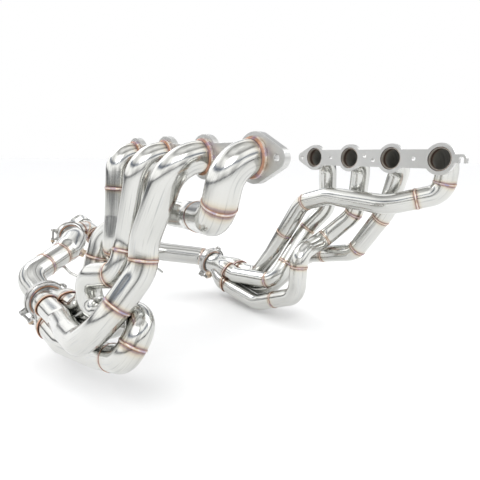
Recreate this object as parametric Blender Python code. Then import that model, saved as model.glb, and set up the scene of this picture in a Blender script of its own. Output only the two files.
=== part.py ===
"""Racing exhaust system for a V8 engine, as separate welded and clamped pieces.

Two long-tube headers, one for each cylinder bank, each gather four primary tubes into a collector. Each
collector ends in a V-band joint. The right collector feeds a merge pipe and the left one a crossover pipe,
and the two meet in a Y behind the engine that ends in a slip-joint sleeve.

Frame: the origin is on the gasket face of the right head flange, midway along it. +X points across the
engine to the left bank, +Y to the rear and +Z up. Routes are written in millimetres from the centre of the
right bank's front port, because that is where a fabricator would measure them from.
"""

import math

import bmesh
import bpy
from mathutils import Matrix, Vector

# ---------------------------------------------------------------- driving dimensions, in millimetres
MM = 0.001
PORT_PITCH = 111.76
PORT_COUNT = 4
BANK_SPACING = 507.0
BANK_STAGGER = 9.9
GAP = 0.3

PRIMARY_RADIUS = 23.8
TUBE_WALL = 1.6
PIPE_RADIUS = 31.75
OUTLET_RADIUS = 38.1
SIDES = 10
DEGREES_PER_STEP = 24.0
SNAP = 9.0

FLANGE_THICKNESS = 10.0
PORT_HOLE_RADIUS = 25.0
PORT_RING_RADIUS = 33.0
WEB_HALF_HEIGHT = 20.0
TUBE_RECESS = 3.0
BOLT_HOLE_RADIUS = 4.4
BOLT_PAIR_HALF_SPACING = 12.0
BOLT_PAIR_RISE = 4.8
EAR_OFFSET = 42.0
EAR_RADIUS = 14.0
HOOK_OFFSET = 44.0
HOOK_RADIUS = 10.0
HOOK_SLOT_RADIUS = 5.0
HOOK_DROP = 8.0

LOBE_OFFSET = 24.3
SOCKET_RADIUS = 25.3
COLLECTOR_WALL = 1.8
SOCKET_DEPTH = 12.0
SPIKE_HALF_WIDTH = 13.6
SPIKE_LENGTH = 60.0

Y_RADIUS = 33.2
Y_WALL = 2.0
SLEEVE_RADIUS = 36.4
SLEEVE_WALL = 2.4
SLEEVE_LENGTH = 38.0
SLEEVE_OVERLAP = 12.0

CLAMP_FLANGE_STEP = 6.9
CLAMP_FLANGE_WIDTH = 5.2
BAND_HALF_WIDTH = 8.0
BAND_THICKNESS = 3.0
BAND_END_ANGLE = 8.0
BAND_STEPS = 10
LUG_HALF_WIDTH = 7.5
BOLT_STANDOFF = 12.0
BOLT_RADIUS = 3.0
TRUNNION_RADIUS = 4.0
TRUNNION_OFFSET = 15.5
TRUNNION_PIN_RADIUS = 2.0
NUT_RADIUS = 6.2
NUT_HEIGHT = 6.5
PIN_RADIUS = 2.0
PIN_STANDOFF = 8.0

BUNG_RADIUS = 11.5
BUNG_HOLE_RADIUS = 8.2
BUNG_HEIGHT = 12.0
HANGER_RADIUS = 4.0

ORIGIN = Vector((0.0, 1.5 * PORT_PITCH, 0.0))
REARWARD = Vector((0.0, 1.0, 0.0))
UP = Vector((0.0, 0.0, 1.0))

STEEL = (0.66, 0.65, 0.62)
SATIN_STEEL = (0.58, 0.58, 0.57)
DARK_STEEL = (0.34, 0.33, 0.32)
BRONZED_STEEL = (0.44, 0.33, 0.26)

# Where each collector starts, on its centreline, and where its V-band joint is
RIGHT_COLLECTOR = (Vector((-115.0, 527.0, -350.0)), Vector((-116.0, 632.0, -347.0)))
LEFT_COLLECTOR = (Vector((458.0, 625.0, -385.0)), Vector((455.0, 745.0, -360.0)))
MERGE_JOINT = Vector((37.0, 919.0, -247.0))


# ---------------------------------------------------------------- scene helpers
def clear_scene():
    for obj in list(bpy.data.objects):
        bpy.data.objects.remove(obj, do_unlink=True)


def metal(name, colour, roughness):
    mat = bpy.data.materials.new(name)
    mat.use_nodes = True
    shader = mat.node_tree.nodes["Principled BSDF"]
    shader.inputs["Base Color"].default_value = (*colour, 1.0)
    shader.inputs["Metallic"].default_value = 1.0
    shader.inputs["Roughness"].default_value = roughness
    mat.diffuse_color = (*colour, 1.0)
    return mat


def add_object(name, bm, colour, roughness, origin):
    """Turn a bmesh drawn in route millimetres into an object whose own origin is at `origin`."""
    bmesh.ops.translate(bm, verts=bm.verts, vec=-origin)
    bmesh.ops.scale(bm, verts=bm.verts, vec=(MM, MM, MM))
    bmesh.ops.recalc_face_normals(bm, faces=bm.faces)
    mesh = bpy.data.meshes.new(name)
    bm.to_mesh(mesh)
    bm.free()
    mesh.materials.append(metal(name, colour, roughness))
    mesh.shade_smooth()
    mesh.set_sharp_from_angle(angle=math.radians(40))
    obj = bpy.data.objects.new(name, mesh)
    obj.location = (origin - ORIGIN) * MM
    bpy.context.collection.objects.link(obj)
    return obj


def join_shape(obj, tool, operation):
    """Add the tool's shape to the object, or cut it away."""
    tool.hide_render = True
    tool.display_type = "WIRE"
    boolean = obj.modifiers.new(tool.name, "BOOLEAN")
    boolean.operation = operation
    boolean.solver = "EXACT"
    boolean.object = tool


# ---------------------------------------------------------------- routes and swept tubes
def route(corners, radii, spacing=SNAP):
    """The centreline through the corners, each interior corner rounded to its own bend radius.

    Points closer than `spacing` are thinned out, because crowded rings would cross inside a bend.
    """
    corners = [Vector(corner) for corner in corners]
    points = [corners[0]]
    for before, corner, after, radius in zip(corners, corners[1:], corners[2:], radii):
        inward = (before - corner).normalized()
        outward = (after - corner).normalized()
        turn = math.pi - inward.angle(outward)
        tangent = radius * math.tan(turn / 2)
        centre = corner + (inward + outward).normalized() * (radius / math.cos(turn / 2))
        first = corner + inward * tangent - centre
        last = corner + outward * tangent - centre
        steps = max(2, math.ceil(math.degrees(turn) / DEGREES_PER_STEP))
        for i in range(steps + 1):
            part = turn * i / steps
            blend = first * math.sin(turn - part) + last * math.sin(part)
            points.append(centre + blend / math.sin(turn))
    kept = [points[0]]
    for point in points[1:]:
        if (point - kept[-1]).length > spacing and (corners[-1] - point).length > spacing:
            kept.append(point)
    return [*kept, corners[-1]]


def split(points, cuts):
    """Give the centreline a point at each cut distance, and return the points with the cuts' places.

    A cut within SNAP of a point that is there already moves to it, so that no two rings crowd together.
    """
    result = [points[0]]
    places = []
    travelled = 0.0
    waiting = list(cuts)
    for before, after in zip(points, points[1:]):
        length = (after - before).length
        if waiting and travelled < waiting[0] < travelled + length - SNAP:
            result.append(before.lerp(after, (waiting.pop(0) - travelled) / length))
            places.append(len(result) - 1)
        result.append(after)
        travelled += length
        if waiting and waiting[0] <= travelled + SNAP:
            waiting.pop(0)
            places.append(len(result) - 1)
    return result, places


def tangents(points):
    result = []
    for i, point in enumerate(points):
        ahead = (points[min(i + 1, len(points) - 1)] - point).normalized()
        behind = (point - points[max(i - 1, 0)]).normalized()
        result.append((ahead + behind).normalized())
    return result


def crosswise(directions):
    """A pair of directions across the centreline at each point, carried along without twist."""
    side = directions[0].orthogonal().normalized()
    result = []
    for direction in directions:
        side = (side - direction * side.dot(direction)).normalized()
        result.append((side, direction.cross(side)))
    return result


def ring(bm, centre, across, radius, sides):
    side, other = across
    step = 2 * math.pi / sides
    offsets = [side * math.cos(i * step) + other * math.sin(i * step) for i in range(sides)]
    return [bm.verts.new(centre + offset * radius) for offset in offsets]


def skin(bm, rings):
    """Quads between neighbouring rings that have the same number of points."""
    for near, far in zip(rings, rings[1:]):
        for i, vert in enumerate(near):
            j = (i + 1) % len(near)
            bm.faces.new((vert, near[j], far[j], far[i]))


def wall(bm, outer, inner):
    """One thick wall from an outer and an inner skin, joined at both ends."""
    skin(bm, outer)
    skin(bm, inner)
    skin(bm, [outer[0], inner[0]])
    skin(bm, [outer[-1], inner[-1]])


def tubes(names, points, radius, cuts=(), thickness=TUBE_WALL, sides=SIDES):
    """Hollow tubes end to end along one centreline, with a weld gap at each cut.

    `radius` is one outer radius, or a function of the distance along the centreline.
    """
    points, places = split(points, cuts)
    directions = tangents(points)
    across = crosswise(directions)
    travelled = [0.0]
    for before, after in zip(points, points[1:]):
        travelled.append(travelled[-1] + (after - before).length)
    ends = [0, *places, len(points) - 1]
    made = []
    for name, first, last in zip(names, ends, ends[1:]):
        bm = bmesh.new()
        outer, inner = [], []
        for i in range(first, last + 1):
            centre = points[i]
            if i == first and first > 0:
                centre = centre + directions[i] * GAP / 2
            if i == last and last < len(points) - 1:
                centre = centre - directions[i] * GAP / 2
            r = radius(travelled[i]) if callable(radius) else radius
            outer.append(ring(bm, centre, across[i], r, sides))
            inner.append(ring(bm, centre, across[i], r - thickness, sides))
        wall(bm, outer, inner)
        made.append(add_object(name, bm, STEEL, 0.16, points[first]))
    return made


def rod(name, points, radius, colour, roughness, sides=10):
    """A solid round bar."""
    bm = bmesh.new()
    rings = [ring(bm, p, across, radius, sides) for p, across in zip(points, crosswise(tangents(points)))]
    skin(bm, rings)
    bm.faces.new(rings[0])
    bm.faces.new(rings[-1])
    return add_object(name, bm, colour, roughness, points[0])


def block(name, centre, axes, sizes):
    """A rectangular block with its own three axes."""
    bm = bmesh.new()
    bmesh.ops.create_cube(bm, size=1.0)
    scaled = [axis * size for axis, size in zip(axes, sizes)]
    turn = Matrix(scaled).transposed().to_4x4()
    bmesh.ops.transform(bm, matrix=Matrix.Translation(centre) @ turn, verts=bm.verts)
    return add_object(name, bm, SATIN_STEEL, 0.3, centre)


# ---------------------------------------------------------------- head flanges
def arc(centre, radius, start, end, steps):
    """Points on an arc in the flange's plane, with angles in degrees."""
    angles = [math.radians(start + (end - start) * i / steps) for i in range(steps + 1)]
    return [(centre + radius * math.cos(a), radius * math.sin(a)) for a in angles]


def ring_angle(half_height):
    """The angle where a port ring meets an arm of this half height."""
    return math.degrees(math.asin(half_height / PORT_RING_RADIUS))


def flange_outline():
    """The flange's edge, clockwise from the slotted hook at one end to the eared hole at the other."""
    hook = -HOOK_OFFSET
    last = PORT_PITCH * (PORT_COUNT - 1)
    webs = [ring_angle(WEB_HALF_HEIGHT)] * (PORT_COUNT - 1)
    ear = ring_angle(EAR_RADIUS)
    upper = [ring_angle(HOOK_RADIUS), *webs, ear]
    lower = [ring_angle(HOOK_DROP), *webs, ear]
    edge = [(hook + HOOK_SLOT_RADIUS, -HOOK_DROP)]
    edge += arc(hook, HOOK_SLOT_RADIUS, 0, 180, 6)
    edge += [(hook - HOOK_SLOT_RADIUS, -HOOK_DROP), (hook - HOOK_RADIUS, -HOOK_DROP)]
    edge += arc(hook, HOOK_RADIUS, 180, 90, 4)
    for k in range(PORT_COUNT):
        edge += arc(PORT_PITCH * k, PORT_RING_RADIUS, 180 - upper[k], upper[k + 1], 6)
    edge += arc(last + EAR_OFFSET, EAR_RADIUS, 90, -90, 8)
    for k in reversed(range(PORT_COUNT)):
        edge += arc(PORT_PITCH * k, PORT_RING_RADIUS, -lower[k + 1], lower[k] - 180, 6)
    return edge


def flange_holes():
    """The port openings and the stud holes, as (position along the row, height, radius, sides)."""
    middle = PORT_PITCH * 1.5
    last = PORT_PITCH * (PORT_COUNT - 1)
    holes = [(PORT_PITCH * k, 0.0, PORT_HOLE_RADIUS, 20) for k in range(PORT_COUNT)]
    holes += [(PORT_PITCH * k, 0.0, BOLT_HOLE_RADIUS, 8) for k in (0.5, 2.5)]
    holes += [
        (middle - BOLT_PAIR_HALF_SPACING, -BOLT_PAIR_RISE, BOLT_HOLE_RADIUS, 8),
        (middle + BOLT_PAIR_HALF_SPACING, BOLT_PAIR_RISE, BOLT_HOLE_RADIUS, 8),
        (last + EAR_OFFSET, 0.0, BOLT_HOLE_RADIUS, 8),
    ]
    return holes


def head_flange(name, front_port, outward):
    """A laser-cut flange. The left one has its hook at the front, and the right one is turned end for end."""
    row_length = PORT_PITCH * (PORT_COUNT - 1)
    loops = [flange_outline()]
    for along, height, radius, sides in flange_holes():
        angles = [2 * math.pi * (i + 0.5) / sides for i in range(sides)]
        loops.append([(along + radius * math.cos(a), height + radius * math.sin(a)) for a in angles])
    bm = bmesh.new()
    edges = []
    for loop in loops:
        verts = []
        for along, height in loop:
            y = along if outward.x > 0 else row_length - along
            verts.append(bm.verts.new(front_port + Vector((0.0, y, height))))
        edges += [bm.edges.new((a, b)) for a, b in zip(verts, verts[1:] + verts[:1])]
    bmesh.ops.triangle_fill(bm, use_beauty=True, use_dissolve=False, edges=edges)
    grown = bmesh.ops.extrude_face_region(bm, geom=bm.faces[:])
    moved = [item for item in grown["geom"] if isinstance(item, bmesh.types.BMVert)]
    bmesh.ops.translate(bm, verts=moved, vec=outward * FLANGE_THICKNESS)
    return add_object(name, bm, SATIN_STEEL, 0.34, front_port)


# ---------------------------------------------------------------- collectors
def collector_axes(ends):
    start, end = ends
    along = (end - start).normalized()
    right = along.cross(UP).normalized()
    return along, right, right.cross(along)


def lobe_centre(ends, across, rise, distance):
    """A point on a primary tube's centreline, measured along the collector from where it starts."""
    along, right, up = collector_axes(ends)
    return ends[0] + along * distance + right * across * LOBE_OFFSET + up * rise * LOBE_OFFSET


def lobed_outline(radius):
    """The four-lobed edge round the tubes, as eight points on each lobe, starting in the top valley."""
    reach = math.degrees(math.acos(-LOBE_OFFSET / radius))
    points = []
    for quarter in range(4):
        turn = Matrix.Rotation(-quarter * math.pi / 2, 2)
        for i in range(8):
            angle = math.radians(reach + (90 - 2 * reach) * i / 8)
            offset = Vector((math.cos(angle), math.sin(angle))) * radius
            points.append(turn @ (Vector((LOBE_OFFSET, LOBE_OFFSET)) + offset))
    return points


def collector(name, ends):
    """A socket for the four tubes that blends into a round outlet."""
    along, right, up = collector_axes(ends)
    length = (ends[1] - ends[0]).length - GAP / 2
    stations = [(0.0, 0.0), (SOCKET_DEPTH + 4, 0.0), (0.42, 0.38), (0.66, 0.8), (0.82, 1.0), (1.0, 1.0)]
    bm = bmesh.new()
    skins = []
    for extra in (COLLECTOR_WALL, 0.0):
        lobed = lobed_outline(SOCKET_RADIUS + extra)
        outlet = OUTLET_RADIUS - COLLECTOR_WALL + extra
        rings = []
        for place, blend in stations:
            distance = place if place > 1.0 else place * length
            verts = []
            for i, edge in enumerate(lobed):
                angle = math.pi / 2 - 2 * math.pi * i / len(lobed)
                circle = Vector((math.cos(angle), math.sin(angle))) * outlet
                flat = edge.lerp(circle, blend)
                verts.append(bm.verts.new(ends[0] + along * distance + right * flat.x + up * flat.y))
            rings.append(verts)
        skins.append(rings)
    wall(bm, *skins)
    return add_object(name, bm, STEEL, 0.18, ends[0])


def merge_spike(name, ends):
    """The pointed diamond that fills the space between the four tubes and smooths the flow."""
    along, right, up = collector_axes(ends)
    bm = bmesh.new()
    rings = []
    for distance, half_width in ((-6.0, SPIKE_HALF_WIDTH), (SOCKET_DEPTH, SPIKE_HALF_WIDTH),
                                 (SOCKET_DEPTH + SPIKE_LENGTH, 0.8)):
        centre = ends[0] + along * distance
        rings.append(ring(bm, centre, (right, up), half_width, 4))
    skin(bm, rings)
    bm.faces.new(rings[0])
    bm.faces.new(rings[-1])
    return add_object(name, bm, DARK_STEEL, 0.35, ends[0])


# ---------------------------------------------------------------- V-band clamps
def revolve(bm, centre, axes, profile, start, end, steps):
    """Turn a closed profile of (radius, height) points about the clamp's axis."""
    x_axis, y_axis, z_axis = axes
    full = end - start >= 360
    rings = []
    for i in range(steps if full else steps + 1):
        angle = math.radians(start + (end - start) * i / steps)
        out = x_axis * math.cos(angle) + y_axis * math.sin(angle)
        rings.append([bm.verts.new(centre + out * radius + z_axis * height) for radius, height in profile])
    skin(bm, rings)
    if full:
        skin(bm, [rings[-1], rings[0]])
    else:
        bm.faces.new(rings[0])
        bm.faces.new(rings[-1])


def clamp_flange(name, centre, axes, pipe_radius, side):
    """One of the two weld-on rings that the band pulls together."""
    inner = pipe_radius + 0.7
    outer = pipe_radius + CLAMP_FLANGE_STEP
    face = GAP / 2
    profile = [(inner, face), (outer, face), (outer, 2.4), (outer - 4, CLAMP_FLANGE_WIDTH),
               (inner, CLAMP_FLANGE_WIDTH)]
    bm = bmesh.new()
    revolve(bm, centre, axes, [(r, side * z) for r, z in profile], 0, 360, 20)
    return add_object(name, bm, SATIN_STEEL, 0.25, centre)


def half_band(name, centre, axes, flange_radius, side):
    """Half of the band. `side` +1 is the half with the T-bolt's pivot, -1 the half with the nut's fork."""
    x_axis, y_axis, z_axis = axes
    inside = flange_radius + 0.9
    outside = inside + BAND_THICKNESS
    lip = flange_radius - 4.0
    profile = [(outside, -BAND_HALF_WIDTH), (outside, BAND_HALF_WIDTH), (lip, BAND_HALF_WIDTH),
               (lip, 5.9), (inside, 5.5), (inside, -5.5), (lip, -5.9), (lip, -BAND_HALF_WIDTH)]
    bm = bmesh.new()
    first = BAND_END_ANGLE if side > 0 else 180 + BAND_END_ANGLE
    revolve(bm, centre, axes, profile, first, first + 180 - 2 * BAND_END_ANGLE, BAND_STEPS)
    band = add_object(name, bm, SATIN_STEEL, 0.22, centre)

    bolt_line = flange_radius + BOLT_STANDOFF
    pin_line = flange_radius + PIN_STANDOFF
    pivot = centre + x_axis * bolt_line + y_axis * TRUNNION_OFFSET
    if side > 0:
        for ear in (-1, 1):
            middle = pivot - x_axis * 3.5 + z_axis * ear * 6.0
            join_shape(band, block(f"{name}_ear{ear}", middle, axes, (16.0, 9.0, 3.0)), "UNION")
        ends = [pivot - z_axis * 12, pivot + z_axis * 12]
        hole = rod(f"{name}_ear_hole", ends, TRUNNION_PIN_RADIUS + 0.5, DARK_STEEL, 0.4)
        join_shape(band, hole, "DIFFERENCE")
    else:
        middle = centre + x_axis * (bolt_line - 3.5) - y_axis * 11.5
        join_shape(band, block(f"{name}_fork", middle, axes, (16.0, 4.0, 15.0)), "UNION")
        slot = centre + x_axis * (bolt_line + 6.0) - y_axis * 11.5
        join_shape(band, block(f"{name}_slot", slot, axes, (20.0, 12.0, 7.6)), "DIFFERENCE")

    knuckle_middle = centre - x_axis * pin_line + z_axis * side * 4.0
    ends = [knuckle_middle - z_axis * 3.5, knuckle_middle + z_axis * 3.5]
    join_shape(band, rod(f"{name}_knuckle", ends, 4.2, SATIN_STEEL, 0.3, 12), "UNION")
    root = centre - x_axis * (pin_line - 4.2) + y_axis * side * 5.0 + z_axis * side * 4.0
    join_shape(band, block(f"{name}_knuckle_root", root, axes, (7.0, 6.0, 7.0)), "UNION")
    ends = [knuckle_middle - z_axis * 12, knuckle_middle + z_axis * 12]
    hole = rod(f"{name}_pin_hole", ends, PIN_RADIUS + 0.5, DARK_STEEL, 0.4)
    join_shape(band, hole, "DIFFERENCE")
    return band


def t_bolt(name, centre, axes, flange_radius):
    """The swinging bolt. Its origin is on the trunnion's axis, which it turns about."""
    x_axis, y_axis, z_axis = axes
    pivot = centre + x_axis * (flange_radius + BOLT_STANDOFF) + y_axis * TRUNNION_OFFSET
    ends = [pivot - z_axis * 4.2, pivot + z_axis * 4.2]
    bolt = rod(name, ends, TRUNNION_RADIUS, DARK_STEEL, 0.28, 12)
    ends = [pivot - z_axis * 7.2, pivot + z_axis * 7.2]
    join_shape(bolt, rod(f"{name}_pins", ends, TRUNNION_PIN_RADIUS, DARK_STEEL, 0.28, 8), "UNION")
    ends = [pivot, pivot - y_axis * 42.0]
    join_shape(bolt, rod(f"{name}_shank", ends, BOLT_RADIUS, DARK_STEEL, 0.28), "UNION")
    return bolt


def clamp_nut(name, centre, axes, flange_radius):
    """The nut on the T-bolt. Its origin is on the bolt's axis."""
    x_axis, y_axis, z_axis = axes
    seat = centre + x_axis * (flange_radius + BOLT_STANDOFF) - y_axis * 14.1
    bm = bmesh.new()
    outer, inner = [], []
    for point in (seat, seat - y_axis * NUT_HEIGHT):
        outer.append(ring(bm, point, (z_axis, x_axis), NUT_RADIUS, 12))
        inner.append(ring(bm, point, (z_axis, x_axis), BOLT_RADIUS + 0.6, 12))
    for rings in outer:
        for i in range(1, 12, 2):
            rings[i].co = (rings[i - 1].co + rings[(i + 1) % 12].co) / 2
    wall(bm, outer, inner)
    return add_object(name, bm, BRONZED_STEEL, 0.3, seat)


def v_band(prefix, centre, pipe_axis, bolt_side, pipe_radius):
    """A complete V-band joint: two flanges, two half bands, hinge pin, T-bolt and nut."""
    z_axis = pipe_axis.normalized()
    x_axis = (bolt_side - z_axis * bolt_side.dot(z_axis)).normalized()
    axes = (x_axis, z_axis.cross(x_axis), z_axis)
    flange_radius = pipe_radius + CLAMP_FLANGE_STEP
    clamp_flange(f"{prefix}_front_flange", centre, axes, pipe_radius, -1)
    clamp_flange(f"{prefix}_rear_flange", centre, axes, pipe_radius, 1)
    half_band(f"{prefix}_pivot_half", centre, axes, flange_radius, 1)
    half_band(f"{prefix}_fork_half", centre, axes, flange_radius, -1)
    pin = centre - x_axis * (flange_radius + PIN_STANDOFF)
    rod(f"{prefix}_hinge_pin", [pin - z_axis * 8.6, pin + z_axis * 8.6], PIN_RADIUS, DARK_STEEL, 0.3, 8)
    t_bolt(f"{prefix}_t_bolt", centre, axes, flange_radius)
    clamp_nut(f"{prefix}_nut", centre, axes, flange_radius)


# ---------------------------------------------------------------- headers
def right_header():
    port = Vector((0.0, 0.0, 0.0))
    head_flange("right_head_flange", port, Vector((-1.0, 0.0, 0.0)))
    y0, y1, y2, y3 = (PORT_PITCH * k for k in range(PORT_COUNT))

    def socket(across, rise, distance):
        return lobe_centre(RIGHT_COLLECTOR, across, rise, distance)

    cylinder_1 = route(
        [(-TUBE_RECESS, y0, 0), (-48, y0, 0), (-53, 20, -78), (5, 165, -95), (5, 350, -100),
         (-50, 420, -165), (-85, 430, -290), socket(1, 1, -47), socket(1, 1, SOCKET_DEPTH)],
        [38, 42, 100, 70, 50, 60, 50])
    cylinder_2 = route(
        [(-TUBE_RECESS, y1, 0), (-57, y1, 0), (-75, 182, -130), (-80, 178, -175), (-143, 190, -255),
         (-158, 265, -308), (-152, 350, -318), socket(-1, 1, -87), socket(-1, 1, SOCKET_DEPTH)],
        [50, 70, 70, 80, 70, 80, 80])
    cylinder_3 = route(
        [(-TUBE_RECESS, y2, 0), (-52, y2, 0), (-66, 258, -140), (-84, 255, -200), (-110, 352, -220),
         (-103, 352, -294), (-80, 170, -251), (-119, 170, -312), (-118, 300, -357),
         socket(-1, -1, -87), socket(-1, -1, SOCKET_DEPTH)],
        [43, 70, 39, 37, 31, 29, 30, 80, 60])
    cylinder_4 = route(
        [(-TUBE_RECESS, y3, 0), (-42, y3, 0), (-52, 333, -110), (-62, 331, -175), (-12, 390, -215),
         (-20, 400, -364), socket(1, -1, -37), socket(1, -1, SOCKET_DEPTH)],
        [32, 70, 40, 45, 50, 50])
    tubes(["right_primary_1_head", "right_primary_1_run", "right_primary_1_tail"], cylinder_1,
          PRIMARY_RADIUS, (92, 590))
    tubes(["right_primary_2_head", "right_primary_2_tail"], cylinder_2, PRIMARY_RADIUS, (298,))
    tubes(["right_primary_3_head", "right_primary_3_loop", "right_primary_3_tail"], cylinder_3,
          PRIMARY_RADIUS, (256, 668))
    tubes(["right_primary_4_head", "right_primary_4_tail"], cylinder_4, PRIMARY_RADIUS, (200,))
    merge_spike("right_merge_spike", RIGHT_COLLECTOR)
    return collector("right_collector", RIGHT_COLLECTOR)


def left_header():
    port = Vector((BANK_SPACING, BANK_STAGGER, 0.0))
    head_flange("left_head_flange", port, Vector((1.0, 0.0, 0.0)))
    start = BANK_SPACING + TUBE_RECESS
    y1, y2, y3, y4 = (BANK_STAGGER + PORT_PITCH * k for k in range(PORT_COUNT))

    def socket(across, rise, distance):
        return lobe_centre(LEFT_COLLECTOR, across, rise, distance)

    cylinder_1 = route(
        [(start, y1, 0), (553, y1, 0), (556, 18, -74), (508, 120, -106), (508, 290, -98),
         (506, 378, -122), (490, 478, -285), (487, 540, -362), socket(1, 1, -25),
         socket(1, 1, SOCKET_DEPTH)],
        [34, 38, 90, 100, 70, 60, 50, 90])
    cylinder_2 = route(
        [(start, y2, 0), (566, y2, 0), (572, 160, -130), (572, 245, -250), (560, 400, -285),
         (490, 520, -425), socket(1, -1, -25), socket(1, -1, SOCKET_DEPTH)],
        [47, 80, 55, 70, 70, 60])
    cylinder_3 = route(
        [(start, y3, 0), (563, y3, 0), (570, 248, -145), (545, 330, -225), (440, 322, -248),
         (434, 322, -366), (434, 480, -430), socket(-1, -1, -25), socket(-1, -1, SOCKET_DEPTH)],
        [44, 70, 50, 45, 45, 90, 80])
    cylinder_4 = route(
        [(start, y4, 0), (565, y4, 0), (578, 348, -140), (548, 396, -205), (446, 420, -352),
         socket(-1, 1, -35), socket(-1, 1, SOCKET_DEPTH)],
        [48, 60, 60, 48, 60])
    tubes(["left_primary_1_head", "left_primary_1_run", "left_primary_1_tail"], cylinder_1,
          PRIMARY_RADIUS, (151, 584))
    tubes(["left_primary_2_head", "left_primary_2_tail"], cylinder_2, PRIMARY_RADIUS, (304,))
    tubes(["left_primary_3_head", "left_primary_3_loop", "left_primary_3_tail"], cylinder_3,
          PRIMARY_RADIUS, (290, 585))
    tubes(["left_primary_4_head", "left_primary_4_tail"], cylinder_4, PRIMARY_RADIUS, (261,))
    merge_spike("left_merge_spike", LEFT_COLLECTOR)
    return collector("left_collector", LEFT_COLLECTOR)


# ---------------------------------------------------------------- small welded fittings
def sensor_bung(name, host, root, direction, sunk, proud):
    """A threaded boss let into the host pipe, `sunk` to `proud` from the pipe's centreline."""
    inner_end = root + direction * sunk
    outer_end = root + direction * proud
    opening = rod(f"{name}_opening", [root + direction * 18.0, outer_end], BUNG_RADIUS + 0.5,
                  DARK_STEEL, 0.4, 12)
    join_shape(host, opening, "DIFFERENCE")
    bm = bmesh.new()
    outer, inner = [], []
    for point, across in zip((inner_end, outer_end), crosswise([direction, direction])):
        outer.append(ring(bm, point, across, BUNG_RADIUS, 12))
        inner.append(ring(bm, point, across, BUNG_HOLE_RADIUS, 12))
    wall(bm, outer, inner)
    return add_object(name, bm, BRONZED_STEEL, 0.32, inner_end)


def hanger_rod(name, corners, radii):
    """A bent bar that hooks into the rubber hanger under the car."""
    return rod(name, route(corners, radii, 2.0), HANGER_RADIUS, STEEL, 0.25, 8)


# ---------------------------------------------------------------- pipes behind the collectors
def radius_between(stations):
    """An outer radius that changes evenly between (distance along the pipe, radius) stations."""
    def radius(distance):
        for (start, first), (end, last) in zip(stations, stations[1:]):
            if distance <= end:
                part = max((distance - start) / (end - start), 0.0)
                return first + (last - first) * part
        return stations[-1][1]
    return radius


def merge_pipe():
    """From the right collector, round behind the engine, to the joint before the Y."""
    joint = RIGHT_COLLECTOR[1]
    along = collector_axes(RIGHT_COLLECTOR)[0]
    centreline = route(
        [joint + along * GAP / 2, joint + along * 34, (-134, 715, -303), (-5, 805, -265), (37, 870, -247),
         MERGE_JOINT - REARWARD * GAP / 2],
        [45, 42, 70, 60])
    radius = radius_between([(8, OUTLET_RADIUS), (26, PIPE_RADIUS), (224, PIPE_RADIUS), (252, 36.5),
                             (300, 36.5), (345, PIPE_RADIUS)])
    elbow = tubes(["merge_inlet_elbow", "merge_mid_pipe", "merge_outlet_elbow"], centreline, radius,
                  (156, 222))[2]
    sensor_bung("merge_sensor_bung", elbow, Vector((3, 818, -262)),
                Vector((0.78, -0.39, -0.5)).normalized(), 32, 47)
    hanger_rod("merge_hanger_rod", [(-27, 786, -307.5), (-14, 772, -327), (12, 745, -343), (24, 736, -372)],
               [16, 20])


def crossover():
    """From the left collector, across behind the engine, through the Y to the outlet."""
    joint = LEFT_COLLECTOR[1]
    along = collector_axes(LEFT_COLLECTOR)[0]
    bend = Vector((155, 990, -285))
    toward_outlet = Vector((-22, 95, 32)).normalized()
    y_start = bend + toward_outlet * 22
    y_end = bend + toward_outlet * 106
    centreline = route([joint + along * GAP / 2, joint + along * 43, (330, 845, -328), bend,
                        y_start - toward_outlet * GAP], [48, 110, 36])
    tubes(["crossover_reducer", "crossover_pipe"], centreline,
          radius_between([(10, OUTLET_RADIUS), (34, PIPE_RADIUS)]), (44,))
    hanger_rod("crossover_hanger_rod", [(300, 870, -356), (300, 868, -380), (322, 850, -402)], [16])

    junction = bend + toward_outlet * 70
    corner = MERGE_JOINT + REARWARD * 51
    into_y = (junction - corner).normalized()
    stub = junction - into_y * 54
    tubes(["branch_pipe"],
          route([MERGE_JOINT + REARWARD * GAP / 2, corner, stub - into_y * GAP], [45]), PIPE_RADIUS)
    body = rod("y_junction", [y_start, y_end], Y_RADIUS, STEEL, 0.18, 16)
    join_shape(body, rod("y_branch", [stub, junction], PIPE_RADIUS, STEEL, 0.18, 16), "UNION")
    ends = [y_start - toward_outlet * 5, y_end + toward_outlet * 5]
    join_shape(body, rod("y_bore", ends, Y_RADIUS - Y_WALL, DARK_STEEL, 0.4, 16), "DIFFERENCE")
    ends = [stub - into_y * 5, junction]
    join_shape(body, rod("y_branch_bore", ends, PIPE_RADIUS - TUBE_WALL, DARK_STEEL, 0.4, 16),
               "DIFFERENCE")
    overlap = toward_outlet * SLEEVE_OVERLAP
    tubes(["outlet_sleeve"], [y_end - overlap, y_end - overlap + toward_outlet * SLEEVE_LENGTH],
          SLEEVE_RADIUS, thickness=SLEEVE_WALL, sides=16)


def build():
    clear_scene()
    right_collector = right_header()
    left_collector = left_header()
    merge_pipe()
    crossover()

    along, right, up = collector_axes(RIGHT_COLLECTOR)
    sensor_bung("right_sensor_bung", right_collector, RIGHT_COLLECTOR[0] + along * 36,
                (right + up * 0.18).normalized(), 40, 56)
    v_band("right_vband", RIGHT_COLLECTOR[1], along, Vector((-0.83, 0.0, -0.55)), OUTLET_RADIUS)
    along, right, up = collector_axes(LEFT_COLLECTOR)
    sensor_bung("left_sensor_bung", left_collector, LEFT_COLLECTOR[0] + along * 84,
                (-right * 0.8 - up * 0.6).normalized(), 35, 50)
    v_band("left_vband", LEFT_COLLECTOR[1], along, Vector((-0.45, 0.0, -0.89)), OUTLET_RADIUS)
    v_band("merge_vband", MERGE_JOINT, REARWARD, Vector((-0.99, 0.0, 0.1)), PIPE_RADIUS)


build()
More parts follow.
